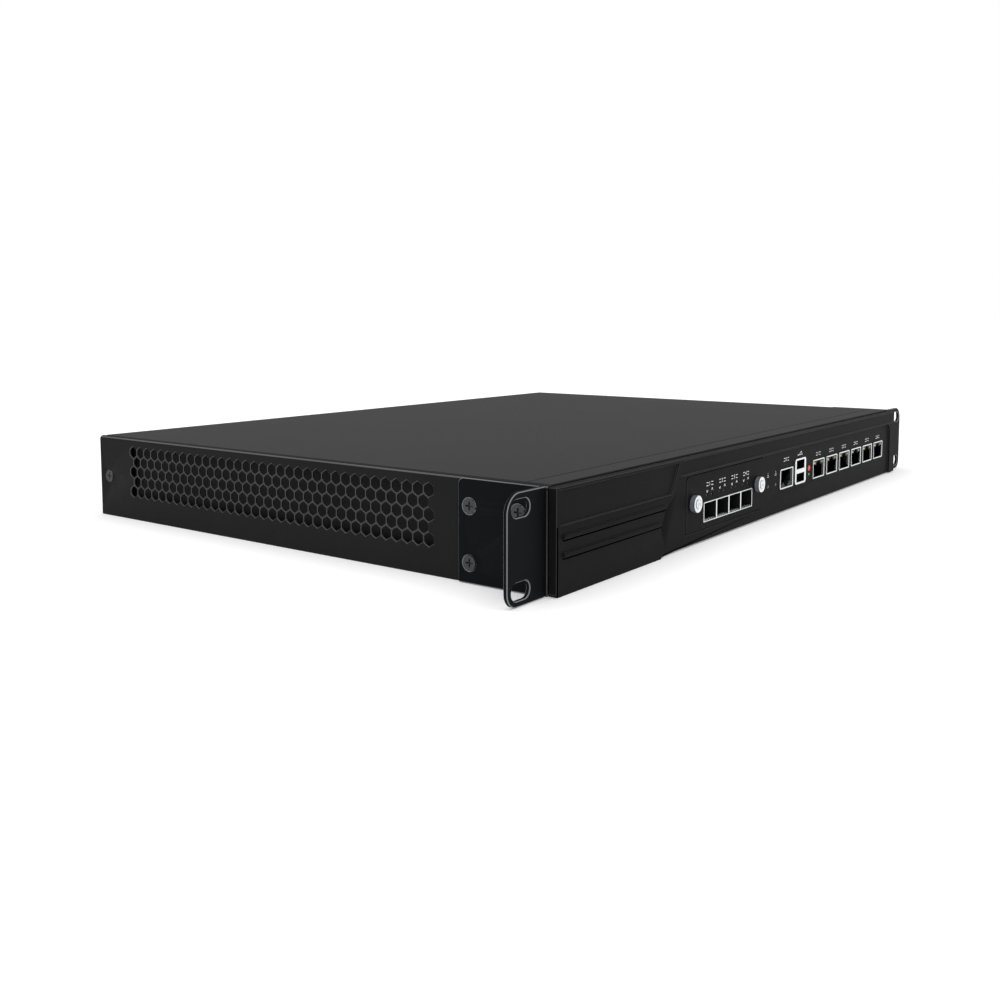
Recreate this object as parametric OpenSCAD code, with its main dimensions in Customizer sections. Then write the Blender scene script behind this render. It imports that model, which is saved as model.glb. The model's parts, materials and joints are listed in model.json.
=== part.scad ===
/* [Body] */
// Width of the case between the outer faces of its side panels
body_w = 430; // [420:1:436]
// Depth of the case behind the front face of the rack ears
body_d = 300; // [290:1:360]
// Height of the case, one rack unit less the gap to its neighbours
body_h = 44; // [43.6:0.1:44.4]
// Thickness of the folded case sheet
sheet_t = 1.2; // [1:0.1:1.5]
// Outer radius of the bend along the top of each side panel
bend_r = 2; // [1.6:0.1:2.4]

/* [Rack ears] */
// Width over both rack ears
rack_w = 482.6; // [480:0.1:483]
// Distance between the slot centres of the two ears
slot_pitch_x = 465.1; // [464.8:0.1:466]
// Distance between the upper and the lower slot of an ear
slot_pitch_z = 31.75; // [31:0.05:32]
// Length of an ear slot from end to end
slot_l = 12; // [8:0.5:13]
// Width of an ear slot
slot_w = 7; // [6.5:0.1:7.4]
// Thickness of the ear bracket
ear_t = 2; // [1.6:0.1:2.4]
// Length of the ear flange that is screwed to the side panel
ear_l = 43; // [42:1:50]

/* [Front bezel] */
// Distance that the bezel stands in front of the rack ears
bezel_t = 4.4; // [4:0.1:5]
// Depth of the recess that holds the ports
recess_t = 1.4; // [1:0.1:1.8]
// Height of the upper edge of the port recess
recess_top = 35; // [34.6:0.1:36]

/* [Ports] */
// Distance between the centres of two network jacks
jack_pitch = 22.4; // [21:0.1:22.6]
// Centre of the first network jack from the middle of the case
jack_x = 69; // [68:0.5:70]
// Number of network jacks
jack_count = 6; // [6:1:6]
// Distance between the centres of two optical ports
sfp_pitch = 14.25; // [14.25:0.05:14.3]

/* [Network module] */
// Width of the module faceplate
module_w = 89.2; // [88:0.1:90]
// Length of the module card behind the bezel
module_l = 148; // [140:1:150]
// Diameter of the thumbscrew heads
knob_d = 8.2; // [8.2:0.1:9]

/* [Hidden] */
$fn = 48;

// A cut reaches past the faces it goes through by this much
past = 0.5;
// Gap between two sheets or bodies that do not touch
gap = 0.4;
// Gap around a sliding or turning fit
fit = 0.05;

// The origin is below the middle of the whole object. The ear faces lie at face_y.
knob_out = 1.6;
stud_out = 6;
front_reach = bezel_t + knob_out;
face_y = (front_reach - stud_out - body_d) / 2;
back_y = face_y + body_d;
bezel_y = face_y - bezel_t;
port_y = bezel_y + recess_t;
side_x = body_w / 2;
inner_x = side_x - sheet_t;
inner_top = body_h - sheet_t;
cover_x = side_x - 3.9;
rail_l = 12.3;
wall_y = face_y + gap;
wall_t = sheet_t;

// Ear brackets and their screws
ear_h = 43.7;
ear_z = 0.3;
ear_r_top = 8;
ear_r_low = 6;
ear_bend_r = 2.4;
ear_slot_z = [body_h / 2 - slot_pitch_z / 2, body_h / 2 + slot_pitch_z / 2];
ear_screw_y = [12.7, 37.2];
ear_screw_z = [8.8, 32.4];
screw_head_d = 6.6;
screw_head_h = 1.7;
screw_d = 3.5;
side_screw_y = body_d - 8;
side_screw_z = 22;

// Hexagonal vents in the side panels
vent_af = 5.45;
vent_pitch = 6.15;
vent_row = vent_pitch * sqrt(3) / 2;
vent_rows = 5;
vent_cols = 35;
vent_y0 = 60.7;
vent_z0 = 15.3;

// Bezel outline, seen from the front
lip_z = 42.6;
bezel_h = 43.4;
recess_r = 4;
recess_right = 205;
bezel_low = 0.8;
foot_end = -130;
slant_low = [-125.6, 2.5];
slant_high = [-111, recess_top];
badge_x = -212.3;
badge = [[badge_x, 28.3], [-120.2, 28.3], [-112.4, 42.1], [badge_x, 42.1]];
badge_t = 0.9;
band_t = 0.5;
band_x = slant_high[0];
band_z = recess_top + 0.8;
rib_w = 2.2;
rib_t = 1;
ribs = [[-210, -127, 23.6], [-210, -131, 16.3]];
seam_w = 0.6;
seam_t = 1.4;
seam_drop = 0.8;
foot_r = 1.2;
ear_gap = 0.8;

// Main board and its ports
board_z = 13.9;
board_t = 1.6;
board_lo = [-8, face_y + 3];
board_hi = [204, face_y + 200];
board_hole_x = [board_lo[0] + 5, 48, board_hi[0] - 5];
board_hole_y = [board_lo[1] + 30, board_hi[1] - 5];
board_hole_d = 3.2;
cpu = [120, face_y + 112];
cpu_half = 19;
cpu_h = 4;
sink_top = inner_top - 1.5;
lid_half = 14;
sink_half = [38, 36];
sink_pitch = 3.1;
dimm_x = [12, 30];
dimm_y = [face_y + 53, face_y + 187];
dimm_h = 24;
m2_x = [54, 76];
m2_y = [face_y + 60, face_y + 142];
cell_x = 186;
cell_y = face_y + 70;
lead_x = 153;
lead_step = 4;
lead_z = board_z + 12;
header_x = [150, 176];
header_y = [board_hi[1] - 24, board_hi[1] - 14];
header_h = 9;
usb_cavity_l = 14;
plug_cavity_l = 15;
notch_w = [6.4, 4];
notch_h = 1.3;
notch_tip = 1;
jack_w = 16;
jack_h = 10.6;
jack_l = 21;
flange_w = 18.6;
flange_h = 11.2;
flange_t = 0.6;
flange_rim = 0.7;
flange_sunk = 0.35;
plug_w = 11.9;
plug_h = 7;
plug_drop = 1.3;
jack_z = board_z + jack_h / 2;
console_x = 19.2;
usb_x = 39.9;
usb_w = 14.4;
usb_h = 14;
usb_l = 18;
usb_z = board_z + usb_h / 2;
usb_hole_w = 12.2;
usb_hole_h = 5;
usb_step = 7.6;
reset_x = 53.8;
reset_z = 20.9;
reset_d = 3.2;
stem_d = 1.6;
stem_l = 5;
reset_travel = 0.8;
power_led_z = 17.3;
led_d = 2;
status_leds = [-6.2, 4.2];
status_led_z = 17.4;

// Network module
module_x = -57.5;
module_z = 6.6;
module_h = 27.4;
module_lo = module_x - module_w / 2;
module_hi = module_x + module_w / 2;
module_gap = 0.4;
module_gap_left = 0.9;
module_cut = 2;
module_plate_t = 3;
card_z = 9.9;
card_y = port_y + module_plate_t;
card_w = 82;
switch_chip = [17, 70, 104];
switch_chip_h = 2.4;
sink_over = 3;
cage_w = 4 * sfp_pitch;
cage_h = 9.8;
cage_l = 48;
cage_out = 0.6;
cage_x = -56.7;
cage_t = 0.5;
sfp_led_z = 22.7;
sfp_led_step = 2.8;
sfp_led_d = 1.8;
tongue_w = 56;
tongue_l = 7;
socket_l = 9;
backplane_y = card_y + module_l + 2.4;
knob_x = [-95.9, -21];
knob_z = 20.7;
screw_travel = 4;
m3_r = 1.5;
ferrule_r = 2.6;
spring_r = 2.2;
spring_pitch = 0.42;
spring_coils = 3;
wire_r = 0.2;
bay_w = 61;
bay_low = 7.2;
bay_step = 16.5;
bay_high = 33.6;
boss_d = 7;
boss_l = screw_travel;
head_y = face_y - front_reach;
head_t = 1;
skirt_d = 8;
skirt_bore = 5.8;
seat_y = head_y + head_t;
washer_t = 0.25;
ferrule_y = port_y - 0.3;

// Rear side
fan = 40;
fan_t = 20;
fan_x = [-92, -40];
fan_z = 22;
fan_y = back_y - sheet_t - fan_t;
fan_bore = 37.6;
fan_hole = 16;
fan_hub_d = 22;
fan_shaft_d = 3;
blades = 7;
psu_lo = [96, back_y - 92];
psu_hi = [206, back_y - sheet_t - gap];
psu_h = 38;
inlet_x = 172;
inlet_z = 22;
inlet_body = [27.8, 20.4];
inlet_flange_t = 2;
inlet_hole_x = 20;
rocker_x = 128;
rocker_y = back_y - 2;
rocker_body = [13, 19.2];
pivot_d = 2;
rocker_tilt = 11;
stud_x = -170;
stud_z = 14;
stud_d = 4;
nut_h = 3.2;

function hex_r(af) = af / sqrt(3);
function port_x(i) = cage_x + (i - 1.5) * sfp_pitch;

// Basic shapes
module slab(lo, hi) {
    translate(lo) cube(hi - lo);
}

module along_y(y, l) {
    translate([0, y + l, 0]) rotate([90, 0, 0]) linear_extrude(l) children();
}

module along_x(x, l) {
    translate([x, 0, 0]) rotate([90, 0, 90]) linear_extrude(l) children();
}

module rod_y(x, y, z, d, l) {
    translate([x, y, z]) rotate([-90, 0, 0]) cylinder(d = d, h = l);
}

// A rectangle from lo to hi with its own radius at each corner, from lower left round to upper left
module plate(lo, hi, r) {
    c = [[lo[0], lo[1], 1, 1], [hi[0], lo[1], -1, 1], [hi[0], hi[1], -1, -1], [lo[0], hi[1], 1, -1]];
    difference() {
        translate(lo) square(hi - lo);
        for (i = [0:3]) {
            if (r[i] > 0) {
                translate([c[i][0], c[i][1]]) square(2 * r[i], center = true);
            }
        }
    }
    for (i = [0:3]) {
        if (r[i] > 0) {
            translate([c[i][0] + c[i][2] * r[i], c[i][1] + c[i][3] * r[i]]) circle(r[i]);
        }
    }
}

// A countersunk screw that points along +Z with its head face at z = 0
module flat_screw(d, l, head_d, head_h) {
    difference() {
        union() {
            cylinder(d1 = head_d, d2 = d, h = head_h);
            translate([0, 0, head_h]) cylinder(d = d, h = l - head_h);
        }
        for (a = [0, 90]) {
            rotate([0, 0, a]) slab([-head_d * 0.28, -0.4, -past], [head_d * 0.28, 0.4, head_h * 0.7]);
        }
    }
}

// The hole for such a screw
module flat_hole(d, l, head_d, head_h) {
    translate([0, 0, -past]) cylinder(d = head_d + 2 * fit, h = past + 0.001);
    cylinder(d1 = head_d + 2 * fit, d2 = d + 2 * fit, h = head_h);
    cylinder(d = d + 2 * fit, h = l);
}

// A pan head screw that points along -Z with its seat at z = 0
module pan_screw(d, l) {
    difference() {
        union() {
            cylinder(d = 2 * d, h = 0.7 * d);
            translate([0, 0, -l]) cylinder(d = d, h = l);
        }
        for (a = [0, 90]) {
            rotate([0, 0, a]) slab([-0.55 * d, -0.15 * d, 0.3 * d], [0.55 * d, 0.15 * d, d]);
        }
    }
}

// Case sheets
module chassis_floor() {
    color("dimgray") difference() {
        union() {
            slab([-inner_x, wall_y + wall_t, 0], [inner_x, back_y - sheet_t, sheet_t]);
            for (s = [-1, 1]) {
                x = s < 0 ? -inner_x : inner_x - sheet_t;
                slab([x, face_y + 4, sheet_t], [x + sheet_t, back_y - 4, 8]);
            }
        }
        for (i = [0:5]) {
            slab([-190, face_y + 40 + i * 12, -past], [-130, face_y + 44 + i * 12, sheet_t + past]);
        }
        for (s = [-1, 1]) {
            for (y = ear_screw_y) {
                translate([s * side_x, face_y + y, ear_screw_z[0]]) rotate([0, -s * 90, 0])
                    cylinder(d = screw_d + 2 * fit, h = 4);
            }
        }
    }
}

module side_profile() {
    translate([-side_x, 0]) square([sheet_t, body_h - bend_r]);
    translate([-side_x + bend_r, body_h - sheet_t]) square([1, sheet_t]);
    translate([-side_x + bend_r, body_h - bend_r]) intersection() {
        difference() {
            circle(bend_r);
            circle(bend_r - sheet_t);
        }
        translate([-bend_r, 0]) square(bend_r);
    }
}

module side_vents() {
    for (row = [0:vent_rows - 1]) {
        n = vent_cols - row % 2;
        for (i = [0:n - 1]) {
            translate([face_y + vent_y0 + vent_pitch / 2 * (row % 2) + i * vent_pitch,
                vent_z0 + row * vent_row]) rotate(30) circle(hex_r(vent_af), $fn = 6);
        }
    }
}

module side_panel() {
    difference() {
        along_y(face_y, body_d) side_profile();
        along_x(-side_x - past, sheet_t + 2 * past) side_vents();
        for (y = ear_screw_y) {
            for (z = ear_screw_z) {
                translate([-side_x, face_y + y, z]) rotate([0, 90, 0])
                    cylinder(d = screw_d + 2 * fit, h = 6, center = true);
            }
        }
        translate([-side_x, face_y + side_screw_y, side_screw_z]) rotate([0, 90, 0])
            flat_hole(screw_d, 6, screw_head_d, sheet_t);
    }
}

module left_side_panel() {
    color("dimgray") side_panel();
}

module right_side_panel() {
    color("dimgray") mirror([1, 0, 0]) side_panel();
}

module cover_tab(y, l, z) {
    x = -inner_x + sheet_t + fit;
    slab([x, face_y + y, z], [x + sheet_t, face_y + y + l, inner_top]);
}

module top_cover() {
    lip_y = back_y - sheet_t - fit;
    rear_lips = [[-inner_x + 8, fan_x[0] - fan / 2 - 4], [fan_x[1] + fan / 2 + 4, psu_lo[0] - 4]];
    color("gray") difference() {
        union() {
            slab([-cover_x, face_y + rail_l + seam_w, inner_top], [cover_x, back_y, body_h]);
            for (span = rear_lips) {
                slab([span[0], lip_y - sheet_t, 32], [span[1], lip_y, inner_top]);
            }
            for (s = [0, 1]) {
                mirror([s, 0, 0]) {
                    cover_tab(30, 14, 26);
                    cover_tab(body_d - 16, 12, 15);
                }
            }
        }
        for (s = [-1, 1]) {
            translate([s * inner_x, face_y + ear_screw_y[1], ear_screw_z[1]]) rotate([0, 90, 0])
                cylinder(d = screw_d + 2 * fit, h = 8, center = true);
            translate([s * inner_x, face_y + side_screw_y, side_screw_z]) rotate([0, 90, 0])
                cylinder(d = screw_d + 2 * fit, h = 8, center = true);
        }
    }
}

module front_top_rail() {
    color("gray") {
        slab([-cover_x, face_y + 0.8, inner_top], [cover_x, face_y + rail_l, body_h]);
        slab([-cover_x + 2, face_y + rail_l - 2, inner_top - sheet_t],
            [cover_x - 2, face_y + rail_l + 8, inner_top]);
    }
}

// Openings of the front, cut through a panel from y over the length l, each made larger by grow
module port_cuts(y, l, grow) {
    g = [grow, grow];
    along_y(y, l) {
        for (i = [0:jack_count - 1]) {
            translate([jack_x + i * jack_pitch, jack_z]) square([jack_w, jack_h] + 2 * g, center = true);
        }
        translate([console_x, jack_z]) square([jack_w, jack_h] + 2 * g, center = true);
        translate([usb_x, usb_z]) square([usb_w, usb_h] + 2 * g, center = true);
    }
    rod_y(reset_x, y, reset_z, reset_d + 2 * fit, l);
    rod_y(reset_x, y, power_led_z, led_d + 2 * fit, l);
    for (x = status_leds) {
        rod_y(x, y, status_led_z, led_d + 2 * fit, l);
    }
}

// Outline of the module faceplate, or of its bay with a gap that is wider on the left
module module_outline(gap_left, gap_around) {
    lo = [module_lo - gap_left, module_z - gap_around];
    hi = [module_hi + gap_around, module_z + module_h + gap_around];
    polygon([lo, [hi[0], lo[1]], hi, [lo[0] + module_cut, hi[1]], [lo[0], hi[1] - module_cut]]);
}

// The wall behind the bezel. Its bay opening is narrower at the height of the thumbscrews.
module front_wall() {
    slot_half = card_w / 2 + 1.2;
    color("darkgray") difference() {
        union() {
            slab([-inner_x, wall_y, 0], [inner_x, wall_y + wall_t, inner_top - fit]);
            for (x = knob_x) {
                rod_y(x, wall_y + wall_t, knob_z, boss_d, boss_l - wall_t);
            }
        }
        port_cuts(wall_y - past, wall_t + 2 * past, 0.3);
        slab([cage_x - slot_half, wall_y - past, bay_low], [cage_x + slot_half, wall_y + 2, bay_step]);
        slab([cage_x - bay_w / 2, wall_y - past, bay_low], [cage_x + bay_w / 2, wall_y + 2, bay_high]);
        for (x = knob_x) {
            rod_y(x, wall_y - past, knob_z, 2 * (m3_r + fit), boss_l + 2 * past);
        }
    }
}

module base_outline() {
    polygon([[-side_x, foot_r], [-side_x + foot_r, 0], [foot_end, 0], [foot_end + 1.5, bezel_low],
        [side_x, bezel_low], [side_x, bezel_h], [-side_x, bezel_h]]);
}

// The part of the face that stands in front of the port recess. A small bend softens the top of the slant.
module proud_outline() {
    slant_bend = [slant_high + [-2.2, -4.9], slant_high + [-0.4, -1.2], slant_high + [3.4, 0]];
    polygon([[-side_x, foot_r], [-side_x + foot_r, 0], [foot_end, 0], slant_low, each slant_bend,
        [recess_right - recess_r, recess_top], [recess_right, recess_top - recess_r],
        [recess_right, bezel_low], [side_x, bezel_low], [side_x, bezel_h], [-side_x, bezel_h]]);
}

// The thin line along the underside and the right end of a rib, left by the rib's own shape
module rib_shadow(r) {
    difference() {
        translate([0.3, -seam_drop]) rib_outline(r, rib_w);
        rib_outline(r, rib_w);
    }
}

module rib_outline(r, w) {
    translate([r[0], r[2] - w / 2]) square([r[1] - r[0], w]);
    for (x = [r[0], r[1]]) {
        translate([x, r[2]]) circle(d = w);
    }
}

// Narrow sunk lines: beside the left edge of the face, beside the badge field and under the ribs
module bezel_seams() {
    translate([-side_x + 0.4, -past]) square([seam_w, badge[0][1] + past - 0.6]);
    translate([badge_x, badge[0][1]]) square([seam_w, badge[3][1] - badge[0][1]]);
    for (r = ribs) {
        rib_shadow(r);
    }
}

module front_bezel() {
    color("dimgray") {
        difference() {
            union() {
                along_y(port_y, face_y - port_y) base_outline();
                along_y(bezel_y, recess_t) proud_outline();
            }
            along_y(bezel_y - past, past + badge_t) polygon(badge);
            along_y(bezel_y - past, past + band_t)
                polygon([[band_x, band_z], [band_x + 2.5, lip_z], [side_x + past, lip_z],
                    [side_x + past, band_z]]);
            along_y(bezel_y - past, past + seam_t) bezel_seams();
            for (s = [-1, 1]) {
                slab([s < 0 ? -side_x - past : side_x - 1, face_y - ear_gap, -past],
                    [s < 0 ? -side_x + 1 : side_x + past, face_y + past, body_h]);
            }
            port_cuts(port_y - 3, 6, 0.2);
            along_y(bezel_y - past, bezel_t + 2 * past) module_outline(module_gap_left, module_gap);
        }
        for (r = ribs) {
            along_y(bezel_y - rib_t / 2, rib_t / 2 + 0.2) rib_outline(r, rib_w);
            along_y(bezel_y - rib_t, rib_t) rib_outline(r, rib_w / 2);
        }
    }
}

module rear_panel() {
    color("dimgray") difference() {
        slab([-inner_x, back_y - sheet_t, 0], [inner_x, back_y, inner_top]);
        along_y(back_y - 3, 4) {
            for (x = fan_x) {
                translate([x, fan_z]) fan_grille();
            }
            for (i = [0:7]) {
                translate([30 + i * 7, 12]) square([3, 20]);
            }
            translate([inlet_x, inlet_z]) square(inlet_body + [gap, gap], center = true);
            translate([rocker_x, inlet_z]) square(rocker_body + [gap, gap], center = true);
        }
        for (x = fan_x) {
            at_fan_holes(x, back_y - 3) rod_y(0, 0, 0, 3.6, 4);
        }
        for (s = [-1, 1]) {
            rod_y(inlet_x + s * inlet_hole_x, back_y - 3, inlet_z, 3.1, 4);
        }
        rod_y(stud_x, back_y - 3, stud_z, stud_d + 2 * fit, 4);
    }
}

// Two rings of six and twelve holes around one in the middle
module fan_grille() {
    for (ring = [0:2]) {
        n = max(1, 6 * ring);
        for (i = [0:n - 1]) {
            a = i * 360 / n;
            rotate(a) translate([ring * 6.9, 0]) rotate(30 - a) circle(hex_r(5.6), $fn = 6);
        }
    }
}

module at_fan_holes(x, y) {
    for (sx = [-1, 1]) {
        for (sz = [-1, 1]) {
            translate([x + sx * fan_hole, y, fan_z + sz * fan_hole]) children();
        }
    }
}

// Rack ears
module ear_bend() {
    intersection() {
        difference() {
            circle(ear_bend_r);
            circle(ear_bend_r - ear_t);
        }
        translate([0, -ear_bend_r]) square(ear_bend_r);
    }
}

module rack_ear() {
    difference() {
        union() {
            along_y(face_y, ear_t)
                plate([-rack_w / 2, ear_z], [-side_x - ear_bend_r, ear_z + ear_h],
                    [ear_r_low, 0, 0, ear_r_top]);
            along_x(-side_x - ear_t, ear_t)
                plate([face_y + ear_bend_r, ear_z], [face_y + ear_l, ear_z + ear_h], [0, 0, 3, 0]);
            translate([-side_x - ear_bend_r, face_y + ear_bend_r, ear_z]) linear_extrude(ear_h) ear_bend();
        }
        for (z = ear_slot_z) {
            along_y(face_y - past, ear_t + 2 * past) translate([-slot_pitch_x / 2, z]) {
                square([slot_l - slot_w, slot_w], center = true);
                for (s = [-1, 1]) {
                    translate([s * (slot_l - slot_w) / 2, 0]) circle(d = slot_w);
                }
            }
        }
        for (y = ear_screw_y) {
            for (z = ear_screw_z) {
                translate([-side_x - ear_t, face_y + y, z]) rotate([0, 90, 0])
                    flat_hole(screw_d, 4, screw_head_d, screw_head_h);
            }
        }
    }
}

module left_rack_ear() {
    color("#1a1c1d") rack_ear();
}

module right_rack_ear() {
    color("#1a1c1d") mirror([1, 0, 0]) rack_ear();
}

// The screws of the ears, the sides, the fans and the inlet
module case_screws() {
    color("silver") {
        for (m = [0, 1]) {
            mirror([m, 0, 0]) {
                for (y = ear_screw_y) {
                    for (z = ear_screw_z) {
                        translate([-side_x - ear_t, face_y + y, z]) rotate([0, 90, 0])
                            flat_screw(screw_d, 6.2, screw_head_d, screw_head_h);
                    }
                }
                translate([-side_x, face_y + side_screw_y, side_screw_z]) rotate([0, 90, 0])
                    flat_screw(screw_d, 6, screw_head_d, sheet_t);
            }
        }
        for (x = fan_x) {
            at_fan_holes(x, back_y) rotate([-90, 0, 0]) pan_screw(3, 8);
        }
        for (s = [-1, 1]) {
            translate([inlet_x + s * inlet_hole_x, back_y + inlet_flange_t, inlet_z]) rotate([-90, 0, 0])
                pan_screw(3, 7);
        }
    }
}

// A modular jack: a metal shell with a raised rim around its face and a stepped plug opening.
// The latch notch is above the plug for tab = 1 and below it for tab = -1.
module jack(x, tab) {
    z = jack_z - plug_drop * tab;
    rim = [flange_w, flange_h] / 2;
    face = rim - [flange_rim, flange_rim];
    color("silver") difference() {
        union() {
            translate([x, port_y, board_z]) slab([-jack_w / 2, -flange_t, 0], [jack_w / 2, jack_l, jack_h]);
            along_y(port_y - flange_t, flange_t) translate([x, jack_z])
                plate(-rim, rim, [0.8, 0.8, 0.8, 0.8]);
        }
        translate([x, 0, jack_z]) slab([-face[0], port_y - flange_t - past, -face[1]],
            [face[0], port_y - flange_t + flange_sunk, face[1]]);
        along_y(port_y - flange_t - past, plug_cavity_l + past) translate([x, z]) {
            square([plug_w, plug_h], center = true);
            translate([0, tab * plug_h / 2]) square([notch_w[0], 2 * notch_h], center = true);
            translate([0, tab * (plug_h / 2 + notch_h)]) square([notch_w[1], 2 * notch_tip], center = true);
        }
    }
}

module lan_jack(i) {
    jack(jack_x + i * jack_pitch, 1);
}

module console_jack() {
    jack(console_x, -1);
}

// Stacked pair of type A sockets
module usb_shell() {
    color("silver") difference() {
        union() {
            translate([usb_x, port_y, board_z]) slab([-usb_w / 2, -flange_t, 0], [usb_w / 2, usb_l, usb_h]);
            along_y(port_y - flange_t, flange_t) translate([usb_x, usb_z])
                plate([-8.2, -7.4], [8.2, 7.4], [1.8, 1.8, 1.8, 1.8]);
        }
        for (s = [-0.5, 0.5]) {
            along_y(port_y - flange_t - past, usb_cavity_l + past) translate([usb_x, usb_z + s * usb_step])
                square([usb_hole_w, usb_hole_h], center = true);
        }
    }
}

module usb_tongues() {
    color("teal") for (s = [-0.5, 0.5]) {
        z = usb_z + s * usb_step + 0.7;
        translate([usb_x, port_y, z]) slab([-5.6, 0.9, -0.9], [5.6, usb_cavity_l - flange_t, 0.9]);
    }
}

module reset_button() {
    color("firebrick") {
        rod_y(reset_x, port_y - 0.4, reset_z, reset_d, 5.4);
        rod_y(reset_x, port_y + 5, reset_z, 5, 1);
        rod_y(reset_x, port_y + 6, reset_z, stem_d, stem_l);
    }
}

module reset_spring() {
    color("silver") for (i = [0:5]) {
        translate([reset_x, port_y + 6.25 + i * 0.68, reset_z]) rotate([90, 0, 0]) ring(1.9, 0.2);
    }
    color("silver") for (s = [-1, 1]) {
        rod_y(reset_x + s * 1.9, port_y + 6.25, reset_z, 0.3, 3.4);
    }
}

module ring(r, wire) {
    rotate_extrude() translate([r, 0]) circle(wire, $fn = 16);
}

module reset_switch() {
    color("black") difference() {
        slab([reset_x - 3.2, port_y + 9.9, board_z], [reset_x + 3.2, port_y + 16, board_z + 11]);
        rod_y(reset_x, port_y + 9.4, reset_z, stem_d + gap / 2, 1.6 + reset_travel + gap);
    }
}

module light_pipe(x, z, y, d, l) {
    rod_y(x, y, z, d, l);
    translate([x, y, z]) rotate([90, 0, 0]) cylinder(d1 = d, d2 = 0.6 * d, h = 0.3);
}

module light_pipes() {
    color("lightgreen") {
        light_pipe(reset_x, power_led_z, port_y, led_d, 8);
        for (x = status_leds) {
            light_pipe(x, status_led_z, port_y, led_d, 8);
        }
    }
}

// Main board
module motherboard() {
    z = board_z - board_t;
    color("darkgreen") difference() {
        union() {
            slab([board_lo[0], board_lo[1], z], [board_hi[0], board_hi[1], board_z]);
            slab([header_x[0], header_y[0], board_z], [header_x[1], header_y[1], board_z + header_h]);
            for (i = [0:4]) {
                translate([70 + i * 14, board_lo[1] + 43, board_z]) cylinder(d = 8, h = 9);
            }
            slab([66, board_lo[1] + 21, board_z], [186, board_lo[1] + 33, board_z + 4]);
        }
        at_board_holes(z - past) cylinder(d = board_hole_d, h = board_t + 2 * past);
    }
}

module at_board_holes(z) {
    for (x = board_hole_x) {
        for (y = board_hole_y) {
            translate([x, y, z]) children();
        }
    }
}

module board_standoffs() {
    l = board_z - board_t - sheet_t;
    color("goldenrod") at_board_holes(sheet_t) difference() {
        cylinder(r = hex_r(5.5), h = l, $fn = 6);
        translate([0, 0, 4]) cylinder(d = 3 + 2 * fit, h = l);
    }
}

module board_screws() {
    color("silver") at_board_holes(board_z) pan_screw(3, 6);
}

// A square block on the board between the heights z0 and z1
module chip(at, half, z0, z1) {
    slab([at[0] - half, at[1] - half, z0], [at[0] + half, at[1] + half, z1]);
}

module processor() {
    substrate_z = board_z + 1.6;
    color("silver") {
        chip(cpu, cpu_half, board_z, substrate_z);
        chip(cpu, lid_half, substrate_z, board_z + cpu_h);
    }
}

module processor_heatsink() {
    z = board_z + cpu_h;
    base_t = 4;
    color("silver") translate([cpu[0], cpu[1], 0]) {
        slab([-sink_half[0], -sink_half[1], z], [sink_half[0], sink_half[1], z + base_t]);
        for (i = [-12:12]) {
            x = i * sink_pitch;
            slab([x - 0.4, -sink_half[1], z + base_t], [x + 0.4, sink_half[1], sink_top]);
        }
    }
}

module memory_sockets() {
    color("black") for (x = dimm_x) {
        difference() {
            slab([x - 3, dimm_y[0] - 3, board_z], [x + 3, dimm_y[1] + 3, board_z + 6]);
            slab([x - 0.7, dimm_y[0] - 1, board_z + 2], [x + 0.7, dimm_y[1] + 1, board_z + 7]);
        }
    }
}

module memory_modules() {
    z = board_z + 2.1;
    half_t = 0.6;
    color("seagreen") for (x = dimm_x) {
        slab([x - half_t, dimm_y[0], z], [x + half_t, dimm_y[1], z + dimm_h]);
        for (i = [0:7]) {
            y = dimm_y[0] + 4 + i * 16;
            slab([x + half_t, y, z + 7], [x + half_t + 1, y + 12, z + 18]);
        }
    }
}

module storage_card() {
    z = board_z + 4;
    card_t = 0.8;
    color("seagreen") {
        slab([m2_x[0], m2_y[0], board_z], [m2_x[1], m2_y[0] + 6, z]);
        slab([m2_x[0], m2_y[0] + 2, z], [m2_x[1], m2_y[1], z + card_t]);
        for (i = [0:3]) {
            y = m2_y[0] + 12 + i * 17;
            slab([m2_x[0] + 3, y, z + card_t], [m2_x[1] - 3, y + 12, z + card_t + 1.2]);
        }
        translate([(m2_x[0] + m2_x[1]) / 2, m2_y[1] - 2, board_z]) cylinder(d = 5, h = 4);
    }
}

module coin_cell() {
    holder_h = 1.6;
    color("silver") translate([cell_x, cell_y, board_z]) {
        cylinder(d = 22, h = holder_h);
        translate([0, 0, holder_h]) cylinder(d = 20, h = 3.2);
    }
}

// Where the module plugs in
module backplane_board() {
    y = backplane_y;
    color("darkgreen") slab([module_lo, y, sheet_t], [board_lo[0] - gap, y + board_t, 34]);
}

module module_socket() {
    y = backplane_y;
    color("black") difference() {
        slab([cage_x - tongue_w / 2 - 3, y - socket_l, card_z - board_t - 3],
            [cage_x + tongue_w / 2 + 3, y, card_z + 3.4]);
        slab([cage_x - tongue_w / 2 - 0.4, y - socket_l - past, card_z - board_t - 0.2],
            [cage_x + tongue_w / 2 + 0.4, y - 1, card_z + 0.2]);
    }
}

// Two channels that hold the edges of the card
module module_guides() {
    edge = card_w / 2;
    y1 = wall_y + module_l - 12;
    color("darkgray") for (m = [0, 1]) {
        translate([cage_x, 0, 0]) mirror([m, 0, 0]) difference() {
            slab([edge - 1.6, wall_y + 6, sheet_t], [edge + 2.4, y1, card_z + 3]);
            slab([edge - 1.6 - past, wall_y, card_z - board_t - 0.2], [edge + 0.3, y1 + past, card_z + 0.2]);
        }
    }
}

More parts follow.
